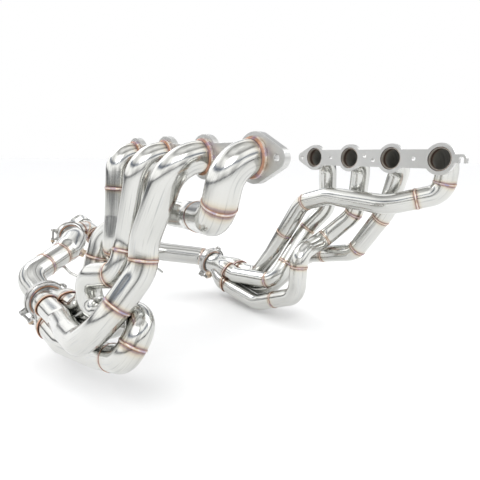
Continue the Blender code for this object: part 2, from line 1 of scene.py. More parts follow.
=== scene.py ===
"""Visual model of the racing exhaust system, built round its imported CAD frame.

Each piece stands for a CAD node, or is an extra such as a weld that goes with one. Routes are in millimetres
from the centre of the right bank's front port, as in the CAD, and become metres from the frame's origin when
a mesh is made.
"""

from math import acos, asin, ceil, cos, degrees, pi, radians, sin, sqrt, tan

import bmesh
import bpy
from mathutils import Matrix, Vector


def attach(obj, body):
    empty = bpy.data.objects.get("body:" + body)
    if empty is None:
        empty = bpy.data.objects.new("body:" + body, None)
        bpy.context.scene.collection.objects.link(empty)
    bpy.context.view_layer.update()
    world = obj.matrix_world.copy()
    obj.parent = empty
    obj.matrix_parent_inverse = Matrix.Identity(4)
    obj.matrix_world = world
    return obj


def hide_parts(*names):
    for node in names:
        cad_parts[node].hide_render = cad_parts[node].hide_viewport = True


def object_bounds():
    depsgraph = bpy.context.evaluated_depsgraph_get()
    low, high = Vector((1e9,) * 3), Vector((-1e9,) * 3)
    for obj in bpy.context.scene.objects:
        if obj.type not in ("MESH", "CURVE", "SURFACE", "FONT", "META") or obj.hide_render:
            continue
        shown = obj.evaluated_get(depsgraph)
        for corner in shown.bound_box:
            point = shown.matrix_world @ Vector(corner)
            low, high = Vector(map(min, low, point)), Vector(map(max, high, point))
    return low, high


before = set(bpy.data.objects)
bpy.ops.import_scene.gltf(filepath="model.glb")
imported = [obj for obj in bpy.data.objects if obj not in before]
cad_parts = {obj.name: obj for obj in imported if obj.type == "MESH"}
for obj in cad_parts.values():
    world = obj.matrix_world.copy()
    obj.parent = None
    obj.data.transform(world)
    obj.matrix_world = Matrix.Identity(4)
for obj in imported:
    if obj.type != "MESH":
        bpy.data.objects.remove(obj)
cad_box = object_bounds()

# ---- dimensions shared with the CAD, millimetres
MM = 0.001
PORT_PITCH = 111.76
BANK_SPACING = 507.0
BANK_STAGGER = 9.9
ORIGIN = Vector((0.0, 1.5 * PORT_PITCH, 0.0))
UP = Vector((0.0, 0.0, 1.0))
REARWARD = Vector((0.0, 1.0, 0.0))

PRIMARY_RADIUS = 23.8
PIPE_RADIUS = 31.75
OUTLET_RADIUS = 38.1
TUBE_WALL = 1.6
TUBE_RECESS = 3.0
FLANGE_THICKNESS = 10.0
PORT_RING_RADIUS = 33.0
SOCKET_DEPTH = 12.0
LOBE_OFFSET = 24.3
MERGE_ELBOW_RADIUS = 36.5
MAIN_BODY = "exhaust_system"

# V-band clamps: the rim and the lines of bolt and pin are out from the pipe's surface, the bolt's pivot and
# the nut's seat are to either side of the joint's centre, and the gap and weld are along the pipe
JOINT_GAP = 0.15
CLAMP_RIM = 6.9
BOLT_LINE = CLAMP_RIM + 12.0
PIN_LINE = CLAMP_RIM + 8.0
BOLT_PIVOT = 15.5
NUT_SEAT = 14.1
BOLT_PITCH = 1.25
V_FLANGE_WELD = 7.2

RIGHT_COLLECTOR = (Vector((-115.0, 527.0, -350.0)), Vector((-116.0, 632.0, -347.0)))
LEFT_COLLECTOR = (Vector((458.0, 625.0, -385.0)), Vector((455.0, 745.0, -360.0)))
MERGE_JOINT = Vector((37.0, 919.0, -247.0))

# Each bank's collector, and where its first tube starts
BANKS = {"right": (RIGHT_COLLECTOR, -TUBE_RECESS, 0.0),
         "left": (LEFT_COLLECTOR, BANK_SPACING + TUBE_RECESS, BANK_STAGGER)}

# How finely the visual surfaces are divided, and how far heat colours spread from a weld
TUBE_SIDES = 48
PIPE_SIDES = 56
DEGREES_PER_STEP = 4.0
STRAIGHT_STEP = 9.0
TINT_REACH = 22.0
WELD_OFFSETS = (-16.0, -9.0, -5.5, -3.0, -1.5, 0.0, 1.5, 3.0, 5.5, 9.0, 16.0)


# ---- materials
class Nodes:
    """A small helper for wiring a node tree."""

    def __init__(self, tree):
        self.tree = tree

    def node(self, kind, **settings):
        made = self.tree.nodes.new(kind)
        for key, value in settings.items():
            setattr(made, key, value)
        return made

    def link(self, source, target):
        self.tree.links.new(source, target)

    def noise(self, vector, scale=1.0, detail=3.0):
        made = self.node("ShaderNodeTexNoise")
        made.inputs["Scale"].default_value = scale
        made.inputs["Detail"].default_value = detail
        self.link(vector, made.inputs["Vector"])
        return made.outputs["Fac"]

    def ramp(self, value, stops):
        """A colour ramp. Each stop is its place and a grey or a colour."""
        made = self.node("ShaderNodeValToRGB")
        elements = made.color_ramp.elements
        while len(elements) < len(stops):
            elements.new(0.5)
        for element, (place, colour) in zip(elements, stops):
            element.position = place
            element.color = (*colour, 1.0) if isinstance(colour, tuple) else (colour, colour, colour, 1.0)
        self.link(value, made.inputs["Fac"])
        return made.outputs["Color"]

    def maths(self, operation, first, second):
        made = self.node("ShaderNodeMath", operation=operation)
        for socket, value in zip(made.inputs, (first, second)):
            if isinstance(value, (int, float)):
                socket.default_value = value
            else:
                self.link(value, socket)
        return made.outputs["Value"]

    def add(self, first, second):
        return self.maths("ADD", first, second)

    def times(self, first, second):
        return self.maths("MULTIPLY", first, second)

    def mix(self, factor, first, second, blend="MIX"):
        made = self.node("ShaderNodeMix", data_type="RGBA", blend_type=blend)
        for name, value in (("Factor", factor), ("A", first), ("B", second)):
            socket = [s for s in made.inputs if s.name == name and s.enabled][-1]
            if isinstance(value, (int, float)):
                socket.default_value = value
            elif isinstance(value, tuple):
                socket.default_value = (*value, 1.0)
            else:
                self.link(value, socket)
        return [s for s in made.outputs if s.enabled][0]


class Shader(Nodes):
    """A material with a Principled surface."""

    def __init__(self, name, metallic=1.0):
        self.material = bpy.data.materials.new(name)
        self.material.use_nodes = True
        super().__init__(self.material.node_tree)
        self.surface = self.tree.nodes["Principled BSDF"]
        self.surface.inputs["Metallic"].default_value = metallic

    def attribute(self, name, output="Fac"):
        return self.node("ShaderNodeAttribute", attribute_name=name).outputs[output]

    def coordinates(self, scale, attribute=None):
        """Object coordinates in millimetres, or a mesh attribute, stretched by `scale`."""
        mapping = self.node("ShaderNodeMapping")
        if attribute:
            source = self.attribute(attribute, "Vector")
            mapping.inputs["Scale"].default_value = scale
        else:
            source = self.node("ShaderNodeTexCoord").outputs["Object"]
            mapping.inputs["Scale"].default_value = [value / MM for value in scale]
        self.link(source, mapping.inputs["Vector"])
        return mapping.outputs["Vector"]

    def bump(self, height, strength, distance=0.0002):
        made = self.node("ShaderNodeBump")
        made.inputs["Strength"].default_value = strength
        made.inputs["Distance"].default_value = distance
        self.link(height, made.inputs["Height"])
        self.link(made.outputs["Normal"], self.surface.inputs["Normal"])

    def colour(self, value):
        self.link(value, self.surface.inputs["Base Color"])

    def roughness(self, value):
        self.link(value, self.surface.inputs["Roughness"])


HEAT_COLOURS = [
    (0.00, (1.0, 1.0, 1.0)),
    (0.52, (1.0, 0.99, 0.97)),
    (0.68, (0.97, 0.92, 0.84)),
    (0.77, (0.86, 0.75, 0.63)),
    (0.82, (0.60, 0.48, 0.46)),
    (0.86, (0.48, 0.37, 0.38)),
    (0.92, (0.44, 0.30, 0.24)),
    (1.00, (0.34, 0.24, 0.18)),
]


def polished_tube_material(name, colour, rough):
    """Bright stainless tube: polishing streaks, painted dark and cool reflection streaks along its length,
    faint waves, a dull bore, and heat colours near its welds.
    """
    shader = Shader(name)

    def along_tube(lengthwise, around, detail=3.0):
        return shader.noise(shader.coordinates((lengthwise, around, around), "straight"), detail=detail)

    grain_and_reflection_streaks = along_tube(0.012, 0.35, 5.0)
    marks = along_tube(0.9, 0.05)
    broad = along_tube(0.012, 0.03, 4.0)
    waves = along_tube(0.010, 0.10, 2.0)
    base = shader.mix(broad, colour, tuple(value * 0.86 for value in colour))
    # Painted reflection: dark grey and cool blue lines along the tube stand for reflected dark bands, laid
    # over the real polishing grain. The same noise also varies the roughness.
    grain_and_painted_reflection = shader.ramp(grain_and_reflection_streaks, [(0.34, (0.66, 0.67, 0.69)), (0.42, (0.96, 0.96, 0.95)),
                                  (0.62, (1.0, 1.0, 1.0)), (0.70, (0.84, 0.86, 0.90))])
    base = shader.mix(0.8, base, grain_and_painted_reflection, "MULTIPLY")
    tint = shader.attribute("tint")
    wander = shader.times(shader.maths("SUBTRACT", along_tube(0.06, 0.09), 0.5), 0.22)
    warped = shader.add(tint, shader.times(wander, tint))
    shader.colour(shader.mix(1.0, base, shader.ramp(warped, HEAT_COLOURS), "MULTIPLY"))
    uneven = shader.add(shader.times(grain_and_reflection_streaks, 0.14), shader.times(marks, 0.07))
    dull = shader.times(shader.attribute("inside"), 0.45)
    shader.roughness(shader.add(shader.add(uneven, rough - 0.105), dull))
    shader.bump(shader.add(waves, shader.times(marks, 0.03)), 0.30, 0.0012)
    return shader.material


def plate_material(name, colour, rough, grain=(0.25, 0.25, 0.02)):
    """Satin plate and machined parts: fine directional grain with a mottled sheen."""
    shader = Shader(name)
    fine = shader.noise(shader.coordinates(grain), 6.0, 4.0)
    broad = shader.noise(shader.coordinates((0.03, 0.03, 0.03)), detail=4.0)
    shader.colour(shader.mix(broad, colour, tuple(value * 0.82 for value in colour)))
    uneven = shader.add(shader.times(fine, 0.14), shader.times(broad, 0.10))
    shader.roughness(shader.add(uneven, rough - 0.12))
    shader.bump(fine, 0.12, 0.0002)
    return shader.material


def weld_material(name):
    """Weld bead: bright straw and violet along its crest, with brown edges."""
    shader = Shader(name)
    patches = shader.noise(shader.coordinates((0.07, 0.07, 0.07)))
    fine = shader.noise(shader.coordinates((0.8, 0.8, 0.8)), detail=2.0)
    crest = shader.ramp(patches, [(0.30, (0.52, 0.40, 0.30)), (0.44, (0.70, 0.62, 0.52)),
                                  (0.52, (0.72, 0.66, 0.60)), (0.60, (0.52, 0.42, 0.46)),
                                  (0.70, (0.40, 0.37, 0.50))])
    brown = shader.ramp(patches, [(0.32, (0.26, 0.14, 0.09)), (0.50, (0.40, 0.22, 0.14)),
                                  (0.68, (0.26, 0.17, 0.20))])
    edge = shader.add(shader.attribute("tint"), shader.times(fine, 0.25))
    shader.colour(shader.mix(shader.ramp(edge, [(0.42, 0.0), (0.75, 1.0)]), crest, brown))
    shader.roughness(shader.add(shader.times(fine, 0.2), 0.24))
    shader.bump(fine, 0.2, 0.0002)
    return shader.material


# ---- geometry helpers
def whole_turn(count):
    """Evenly spaced angles right round a circle."""
    return [2 * pi * i / count for i in range(count)]


def smooth(part):
    """0 to 1 with level ends."""
    return part * part * (3 - 2 * part)


def square_to(vector, axis):
    """The part of a vector that is square to an axis."""
    return vector - axis * vector.dot(axis)


def heat(distance, welds):
    """How strongly the welds have coloured the metal at a distance."""
    nearest = min((abs(distance - weld) for weld in welds), default=TINT_REACH)
    return max(0.0, 1.0 - nearest / TINT_REACH)


# ---- routes
def route(corners, radii):
    """A smooth centreline through the corners, each interior corner rounded to its bend radius."""
    corners = [Vector(corner) for corner in corners]
    points = [corners[0]]
    for before, corner, after, radius in zip(corners, corners[1:], corners[2:], radii):
        inward = (before - corner).normalized()
        outward = (after - corner).normalized()
        turn = pi - inward.angle(outward)
        tangent = radius * tan(turn / 2)
        centre = corner + (inward + outward).normalized() * (radius / cos(turn / 2))
        first = corner + inward * tangent - centre
        last = corner + outward * tangent - centre
        steps = max(2, ceil(degrees(turn) / DEGREES_PER_STEP))
        for i in range(steps + 1):
            part = turn * i / steps
            blend = first * sin(turn - part) + last * sin(part)
            add_leg(points, centre + blend / sin(turn))
    add_leg(points, corners[-1])
    return points


def add_leg(points, target):
    """Carry the centreline on to the target, in even steps of about STRAIGHT_STEP."""
    start = points[-1]
    length = (target - start).length
    if length < 0.05:
        return
    steps = max(1, round(length / STRAIGHT_STEP))
    points.extend(start.lerp(target, (i + 1) / steps) for i in range(steps))


def travelled(points):
    total = [0.0]
    for before, after in zip(points, points[1:]):
        total.append(total[-1] + (after - before).length)
    return total


def directions_of(points):
    result = []
    for i, point in enumerate(points):
        ahead = (points[min(i + 1, len(points) - 1)] - point).normalized()
        behind = (point - points[max(i - 1, 0)]).normalized()
        result.append((ahead + behind).normalized())
    return result


def crosswise(directions):
    """A pair of directions across the centreline at each point, carried along without twist."""
    side = directions[0].orthogonal().normalized()
    result = []
    for direction in directions:
        side = square_to(side, direction).normalized()
        result.append((side, direction.cross(side)))
    return result


class Line:
    """A centreline with its directions, which can be looked up at any distance along it."""

    def __init__(self, points):
        self.points = points
        self.along = travelled(points)
        self.length = self.along[-1]
        self.directions = directions_of(points)
        self.across = crosswise(self.directions)

    def at(self, distance):
        """The point, direction and crosswise pair at a distance."""
        distance = min(max(distance, 0.0), self.length)
        i = 0
        while i < len(self.along) - 2 and self.along[i + 1] < distance:
            i += 1
        part = (distance - self.along[i]) / (self.along[i + 1] - self.along[i])
        direction = self.directions[i].lerp(self.directions[i + 1], part).normalized()
        side = square_to(self.across[i][0].lerp(self.across[i + 1][0], part), direction).normalized()
        return self.points[i].lerp(self.points[i + 1], part), direction, (side, direction.cross(side))

    def stations(self, start, end, welds=()):
        """The distances of a stretch's ends, of the centreline's points between them, and near its welds."""
        near = [weld + offset for weld in welds for offset in WELD_OFFSETS]
        result = [start]
        for distance in sorted(self.along + near):
            if result[-1] + 0.8 < distance < end - 0.8:
                result.append(distance)
        return [*result, end]


# ---- meshes
def add_object(name, data):
    obj = bpy.data.objects.new(name, data)
    bpy.context.collection.objects.link(obj)
    return obj


class Shape:
    """Vertices and faces in route millimetres, with the attributes that the materials read."""

    def __init__(self):
        self.verts = []
        self.faces = []
        self.tints = []
        self.straights = []
        self.insides = []

    def row(self, points, tint=0.0, straights=None, inside=0.0):
        """Add a row of points and return their numbers.

        `tint` is one value or a list with one for each point, `straights` are the points as they would lie on
        a straightened tube, and `inside` marks an unpolished bore.
        """
        first = len(self.verts)
        self.verts.extend(points)
        self.tints.extend(tint if isinstance(tint, list) else [tint] * len(points))
        self.straights.extend(straights or points)
        self.insides.extend([inside] * len(points))
        return list(range(first, len(self.verts)))

    def skin(self, rows, closed=True):
        """Quads between neighbouring rows. `closed` joins the ends of each row."""
        for near, far in zip(rows, rows[1:]):
            count = len(near)
            for i in range(count if closed else count - 1):
                j = (i + 1) % count
                self.faces.append((near[i], near[j], far[j], far[i]))

    def bar(self, rows, closed=True):
        """A skin over the rows with its two ends filled in."""
        self.skin(rows, closed)
        self.faces += [tuple(rows[0]), tuple(rows[-1])]

    def wall(self, outer, inner):
        """An outer and an inner skin joined at both ends."""
        for rows in (outer, inner, [outer[0], inner[0]], [outer[-1], inner[-1]]):
            self.skin(rows)

    def lathe(self, centre, axis, profile, sides=48, closed=False, across=None):
        """Turn a profile of (radius, height) points about an axis. `closed` joins its two ends."""
        across = across or crosswise([axis])[0]
        rows = [self.row(circle(centre + axis * height, across, radius, sides)) for radius, height in profile]
        self.skin(rows + rows[:1] if closed else rows)

    def plate(self, loops, thickness, place):
        """A flat plate with holes. `place` turns (across, up, depth) into a point."""
        bm = bmesh.new()
        edges = []
        for loop in loops:
            verts = [bm.verts.new((x, y, 0.0)) for x, y in loop]
            edges += [bm.edges.new((a, b)) for a, b in zip(verts, verts[1:] + verts[:1])]
        bmesh.ops.triangle_fill(bm, use_beauty=True, use_dissolve=False, edges=edges)
        bm.verts.index_update()
        flat = [vert.co.copy() for vert in bm.verts]
        cells = [[vert.index for vert in face.verts] for face in bm.faces]
        bm.free()
        near = self.row([place(co.x, co.y, 0.0) for co in flat])
        far = self.row([place(co.x, co.y, thickness) for co in flat])
        for cell in cells:
            self.faces.append(tuple(near[i] for i in cell))
            self.faces.append(tuple(far[i] for i in reversed(cell)))
        first = 0
        for loop in loops:
            numbers = list(range(first, first + len(loop)))
            self.skin([[near[i] for i in numbers], [far[i] for i in numbers]])
            first += len(loop)

    def piece(self, name, material, node, body=MAIN_BODY, bevel=0.0, sharp=38.0, replaces=True):
        """Make the object and ride it on its body. It stands for the CAD node unless `replaces` is off."""
        mesh = bpy.data.meshes.new(name)
        mesh.from_pydata([(vert - ORIGIN) * MM for vert in self.verts], [], self.faces)
        for key, values in (("tint", self.tints), ("inside", self.insides)):
            mesh.attributes.new(key, "FLOAT", "POINT").data.foreach_set("value", values)
        straight = mesh.attributes.new("straight", "FLOAT_VECTOR", "POINT")
        straight.data.foreach_set("vector", [value for vector in self.straights for value in vector])
        bm = bmesh.new()
        bm.from_mesh(mesh)
        bmesh.ops.recalc_face_normals(bm, faces=bm.faces)
        bm.to_mesh(mesh)
        bm.free()
        mesh.shade_smooth()
        mesh.set_sharp_from_angle(angle=radians(sharp))
        mesh.materials.append(material)
        obj = add_object(name, mesh)
        if bevel:
            modifier = obj.modifiers.new("edges", "BEVEL")
            modifier.width = bevel * MM
            modifier.segments = 2
            modifier.limit_method = "ANGLE"
            modifier.angle_limit = radians(40)
            modifier.harden_normals = True
        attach(obj, body)
        if replaces:
            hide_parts(node)

    def weld_piece(self, name, node):
        """Make the object for welds, which the CAD leaves out."""
        self.piece(name, bead_finish, node, replaces=False)


def circle(centre, across, radius, sides):
    side, other = across
    return [centre + (side * cos(a) + other * sin(a)) * radius for a in whole_turn(sides)]


def sweep(shape, line, start, end, radius_at, wall=TUBE_WALL, welds=(), sides=TUBE_SIDES):
    """A hollow tube along part of a line, tinted near the welds' distances."""
    outer, inner = [], []
    for distance in line.stations(start, end, welds):
        centre, _, across = line.at(distance)
        radius = radius_at(distance)
        tint = heat(distance, welds)
        unrolled = [Vector((distance, radius * cos(a), radius * sin(a))) for a in whole_turn(sides)]
        outer.append(shape.row(circle(centre, across, radius, sides), tint, unrolled))
        inner.append(shape.row(circle(centre, across, radius - wall, sides), tint, unrolled, 1.0))
    shape.wall(outer, inner)


# ---- weld beads
RIPPLE_PITCH = 2.1
RIPPLE_SAMPLES = 4
BEAD_PROFILE = 7


def bead(shape, points, outs, acrosses, half_width, height, closed=True):
    """A rippled bead along a path. `outs` point away from the surface and `acrosses` over the joint."""
    path = points + [points[0]] if closed else points
    along = travelled(path)
    ripples = max(3, round(along[-1] / RIPPLE_PITCH))
    count = ripples * RIPPLE_SAMPLES
    profile = [-1.0 + 2.0 * m / (BEAD_PROFILE - 1) for m in range(BEAD_PROFILE)]
    rows = []
    i = 0
    for k in range(count if closed else count + 1):
        distance = along[-1] * k / count
        while i < len(along) - 2 and along[i + 1] < distance:
            i += 1
        part = (distance - along[i]) / max(along[i + 1] - along[i], 1e-6)
        j = (i + 1) % len(points)
        centre = points[i].lerp(path[i + 1], part)
        out = outs[i].lerp(outs[j], part).normalized()
        across = acrosses[i].lerp(acrosses[j], part).normalized()
        row = []
        for u in profile:
            phase = k / RIPPLE_SAMPLES - 0.45 * (1.0 - u * u)
            crest = abs(sin(pi * phase))
            rise = height * sqrt(max(0.0, 1.0 - u * u)) * (0.72 + 0.28 * crest) - 0.25 * height * abs(u)
            row.append(centre + across * (half_width * u * (0.94 + 0.06 * crest)) + out * rise)
        rows.append(shape.row(row, [abs(u) for u in profile]))
    if closed:
        shape.skin(rows + rows[:1])
    else:
        shape.bar(rows)


def ring_bead(shape, line, distance, radius, half_width=2.9, height=1.1):
    """A bead all round a tube, at a distance along its line."""
    centre, direction, across = line.at(distance)
    points = circle(centre, across, radius, 72)
    outs = [(point - centre).normalized() for point in points]
    bead(shape, points, outs, [direction] * len(points), half_width, height)


def seam_bead(shape, line, start, end, radius_at, toward, half_width=2.2, height=0.9):
    """A bead along the side of a tube that faces a direction."""
    points, outs, acrosses = [], [], []
    for distance in line.stations(start, end):
        centre, direction, _ = line.at(distance)
        out = square_to(toward, direction).normalized()
        points.append(centre + out * radius_at(distance))
        outs.append(out)
        acrosses.append(direction.cross(out))
    bead(shape, points, outs, acrosses, half_width, height, closed=False)


def v_flange_beads(shape, line, start_radius=0.0, end_radius=0.0):
    """The welds behind the V flanges at a line's start, its end or both."""
    if start_radius:
        ring_bead(shape, line, V_FLANGE_WELD, start_radius + 0.3, 1.8, 1.6)
    if end_radius:
        ring_bead(shape, line, line.length - V_FLANGE_WELD, end_radius + 0.3, 1.8, 1.6)


# ---- finishes
tube_finish = polished_tube_material("polished_primary_tube", (0.665, 0.665, 0.64), 0.15)
pipe_finish = polished_tube_material("polished_pipe", (0.62, 0.62, 0.60), 0.18)
flange_finish = plate_material("satin_flange", (0.66, 0.66, 0.645), 0.36)
clamp_finish = plate_material("bright_clamp_band", (0.55, 0.545, 0.53), 0.24, (0.02, 0.3, 0.3))
bolt_finish = plate_material("dark_bolt", (0.42, 0.41, 0.40), 0.28, (0.3, 0.3, 0.3))
bung_finish = plate_material("bronzed_bung", (0.56, 0.45, 0.34), 0.30, (0.3, 0.3, 0.3))
bead_finish = weld_material("weld_bead")


# ---- primary tubes
def collector_axes(ends):
    """Directions along a collector, to its side and up."""
    start, end = ends
    along = (end - start).normalized()
    right = along.cross(UP).normalized()
    return along, right, right.cross(along)


def lobe_centre(ends, across, rise, distance):
    """The centre of one of a collector's four tubes, at a distance behind its front."""
    along, right, up = collector_axes(ends)
    return ends[0] + along * distance + right * across * LOBE_OFFSET + up * rise * LOBE_OFFSET


def primary(side, number, names, lead, bends, lobe, radii, cuts, extra_welds=()):
    """One primary tube: its lengths of tube, and one piece with all of its welds.

    `lead` is the x of its first corner, straight out from the port. `lobe` is its place among the collector's
    four, and how far ahead of the collector its last corner is. `cuts` are the welds between lengths, and
    `extra_welds` the others, as distances along the tube.
    """
    collector_ends, port_x, first_port_y = BANKS[side]
    port_y = first_port_y + PORT_PITCH * (number - 1)
    across, rise, ahead = lobe
    line = Line(route([(port_x, port_y, 0), (lead, port_y, 0), *bends,
                       lobe_centre(collector_ends, across, rise, -ahead),
                       lobe_centre(collector_ends, across, rise, SOCKET_DEPTH)], radii))
    flange_face = FLANGE_THICKNESS - TUBE_RECESS
    welds = [flange_face + 3.0, *cuts, *extra_welds, line.length - SOCKET_DEPTH - 6.0]
    ends = [0.0, *cuts, line.length]
    for name, start, end in zip(names, ends, ends[1:]):
        shape = Shape()
        sweep(shape, line, start, end, lambda distance: PRIMARY_RADIUS, welds=welds)
        node = f"{side}_primary_{number}_{name}"
        shape.piece(f"{node}_tube", tube_finish, node)
    beads = Shape()
    ring_bead(beads, line, flange_face + 1.8, PRIMARY_RADIUS + 0.6, 4.8, 3.2)
    ring_bead(beads, line, 0.8, PRIMARY_RADIUS - 0.6, 1.2, 0.9)
    for distance in (*cuts, *extra_welds):
        ring_bead(beads, line, distance, PRIMARY_RADIUS - 0.1)
    beads.weld_piece(f"{side}_primary_{number}_welds", f"{side}_primary_{number}_head")


def primaries():
    """All eight, each with its corners from port to collector."""
    primary("right", 1, ("head", "run", "tail"), -48,
            [(-53, 20, -78), (5, 165, -95), (5, 350, -100), (-50, 420, -165), (-85, 430, -290)], (1, 1, 47),
            [38, 42, 100, 70, 50, 60, 50], (92, 590), (210,))
    primary("right", 2, ("head", "tail"), -57,
            [(-75, 182, -130), (-80, 178, -175), (-143, 190, -255), (-158, 265, -308), (-152, 350, -318)],
            (-1, 1, 87), [50, 70, 70, 80, 70, 80, 80], (298,), (215,))
    primary("right", 3, ("head", "loop", "tail"), -52,
            [(-66, 258, -140), (-84, 255, -200), (-110, 352, -220), (-103, 352, -294), (-80, 170, -251),
             (-119, 170, -312), (-118, 300, -357)], (-1, -1, 87),
            [43, 70, 39, 37, 31, 29, 30, 80, 60], (256, 668), (200, 590))
    primary("right", 4, ("head", "tail"), -42,
            [(-52, 333, -110), (-62, 331, -175), (-12, 390, -215), (-20, 400, -364)], (1, -1, 37),
            [32, 70, 40, 45, 50, 50], (200,), (88,))
    primary("left", 1, ("head", "run", "tail"), 553,
            [(556, 18, -74), (508, 120, -106), (508, 290, -98), (506, 378, -122), (490, 478, -285),
             (487, 540, -362)], (1, 1, 25), [34, 38, 90, 100, 70, 60, 50, 90], (151, 584), (81, 464))
    primary("left", 2, ("head", "tail"), 566,
            [(572, 160, -130), (572, 245, -250), (560, 400, -285), (490, 520, -425)], (1, -1, 25),
            [47, 80, 55, 70, 70, 60], (304,), (196, 418))
    primary("left", 3, ("head", "loop", "tail"), 563,
            [(570, 248, -145), (545, 330, -225), (440, 322, -248), (434, 322, -366), (434, 480, -430)],
            (-1, -1, 25), [44, 70, 50, 45, 45, 90, 80], (290, 585), (182, 422))
    primary("left", 4, ("head", "tail"), 565,
            [(578, 348, -140), (548, 396, -205), (446, 420, -352)], (-1, 1, 35),
            [48, 60, 60, 48, 60], (261,), (380, 458))


# ---- head flanges
def arc(centre, radius, start, end, steps):
    """Points on an arc about (centre, 0), with angles in degrees."""
    angles = [radians(start + (end - start) * i / steps) for i in range(steps + 1)]
    return [(centre + radius * cos(a), radius * sin(a)) for a in angles]


EAR_REACH = 42.0
EAR_RADIUS = 14.0
PORT_HOLE = 24.9
STUD_HOLE = 4.4


def flange_outline():
    """The edge, from its hooked end over the four ports to the ear, and back below."""
    hook, last = -44.0, PORT_PITCH * 3

    def meet(half_height):
        """The angle where a level edge meets a port's ring."""
        return degrees(asin(half_height / PORT_RING_RADIUS))

    taper = degrees(acos((PORT_RING_RADIUS - EAR_RADIUS) / EAR_REACH))
    upper = [meet(10), meet(20), meet(20), meet(20), taper]
    lower = [meet(8), meet(20), meet(20), meet(20), taper]
    edge = [(hook + 5, -8)] + arc(hook, 5, 0, 180, 16) + [(hook - 5, -8), (hook - 10, -8)]
    edge += arc(hook, 10, 180, 90, 12)
    for k in range(4):
        edge += arc(PORT_PITCH * k, PORT_RING_RADIUS, 180 - upper[k], upper[k + 1], 28)
    edge += arc(last + EAR_REACH, EAR_RADIUS, taper, -taper, 24)
    for k in reversed(range(4)):
        edge += arc(PORT_PITCH * k, PORT_RING_RADIUS, -lower[k + 1], lower[k] - 180, 28)
    return edge


def head_flange(side, front_port, outward):
    """The laser-cut flange with its port, stud and ear holes. Its welds belong to the tubes' pieces."""
    middle, last = PORT_PITCH * 1.5, PORT_PITCH * 3
    studs = [(PORT_PITCH * 0.5, 0), (PORT_PITCH * 2.5, 0), (middle - 12, -4.8), (middle + 12, 4.8),
             (last + EAR_REACH, 0)]
    holes = [(PORT_PITCH * k, 0, PORT_HOLE) for k in range(4)] + [(*stud, STUD_HOLE) for stud in studs]
    loops = [flange_outline()]
    for along, height, radius in holes:
        angles = whole_turn(56 if radius == PORT_HOLE else 24)
        loops.append([(along + radius * cos(a), height + radius * sin(a)) for a in angles])

    def place(along, height, depth):
        y = along if outward.x > 0 else last - along
        return front_port + Vector((0.0, y, height)) + outward * depth

    shape = Shape()
    shape.plate(loops, FLANGE_THICKNESS, place)
    node = f"{side}_head_flange"
    shape.piece(f"{node}_plate", flange_finish, node, bevel=0.7, sharp=30)


# ---- collectors
LOBE_POINTS = 26
COLLECTOR_STATIONS = 30
LOBE_RADIUS = 26.0
LOBE_WALL = 1.3
LOBE_WELD_RADIUS = 25.4
SCALLOP_MIDDLE = 3.0
SCALLOP_DEPTH = 7.0
BLEND_START = 14.0
BLEND_END = 0.80


def lobed_outline(radius):
    """The four-lobed edge round the tubes, starting in the top valley.

    Each point comes with its way out and its scallop, which is 1 in a valley and -1 on the top of a lobe.
    """
    reach = degrees(acos(-LOBE_OFFSET / radius))
    result = []
    for quarter in range(4):
        turn = Matrix.Rotation(-quarter * pi / 2, 2)
        for i in range(LOBE_POINTS):
            angle = radians(reach + (90 - 2 * reach) * i / LOBE_POINTS)
            out = Vector((cos(angle), sin(angle)))
            scallop = cos(2 * pi * i / LOBE_POINTS)
            result.append((turn @ (Vector((LOBE_OFFSET, LOBE_OFFSET)) + out * radius), turn @ out, scallop))
    return result


def collector(side, ends):
    """The merge collector, whose front edge is scalloped round each tube and welded to it."""
    along, right, up = collector_axes(ends)
    length = (ends[1] - ends[0]).length - JOINT_GAP

    def point(flat, distance):
        return ends[0] + along * distance + right * flat.x + up * flat.y

    shape = Shape()
    skins = []
    for radius, outlet in ((LOBE_RADIUS, OUTLET_RADIUS),
                           (LOBE_RADIUS - LOBE_WALL, OUTLET_RADIUS - TUBE_WALL)):
        lobed = lobed_outline(radius)
        rows = []
        for j in range(COLLECTOR_STATIONS + 1):
            row = []
            for i, (edge, _, scallop) in enumerate(lobed):
                start = SCALLOP_MIDDLE + SCALLOP_DEPTH * scallop
                distance = start + (length - start) * j / COLLECTOR_STATIONS
                part = (distance - BLEND_START) / (BLEND_END * length - BLEND_START)
                angle = pi / 2 - 2 * pi * i / len(lobed)
                round_point = Vector((cos(angle), sin(angle))) * outlet
                row.append(point(edge.lerp(round_point, smooth(min(max(part, 0.0), 1.0))), distance))
            distance = length * j / COLLECTOR_STATIONS
            unrolled = [Vector((distance, p.x, p.z)) for p in row]
            rows.append(shape.row(row, heat(distance, (0.0, length)), unrolled))
        skins.append(rows)
    shape.wall(*skins)
    node = f"{side}_collector"
    shape.piece(f"{node}_shell", pipe_finish, node)

    beads = Shape()
    points, outs = [], []
    for edge, out, scallop in lobed_outline(LOBE_WELD_RADIUS):
        points.append(point(edge, SCALLOP_MIDDLE - 0.4 + SCALLOP_DEPTH * scallop))
        outs.append(right * out.x + up * out.y)
    bead(beads, points, outs, [along] * len(points), 3.2, 1.9)
    v_flange_beads(beads, Line([ends[0], ends[0] + along * length]), end_radius=OUTLET_RADIUS)
    beads.weld_piece(f"{node}_welds", node)


# ---- V-band clamps
BAND_STEPS = 48


def clamp_ring(prefix, at, axes, pipe_radius, side):
    """One weld-on V flange."""
    outer = pipe_radius + CLAMP_RIM
    profile = [(pipe_radius + 0.3, JOINT_GAP), (outer - 0.5, JOINT_GAP), (outer, 0.7), (outer, 2.0),
               (outer - 0.4, 2.7), (outer - 4.0, 5.1), (pipe_radius + 1.2, 5.2), (pipe_radius + 0.3, 4.9)]
    shape = Shape()
    shape.lathe(at(0, 0, 0), axes[2], [(r, side * z) for r, z in profile], 72, closed=True, across=axes[:2])
    node = f"{prefix}_{'rear' if side > 0 else 'front'}_flange"
    shape.piece(f"{node}_ring", flange_finish, node)


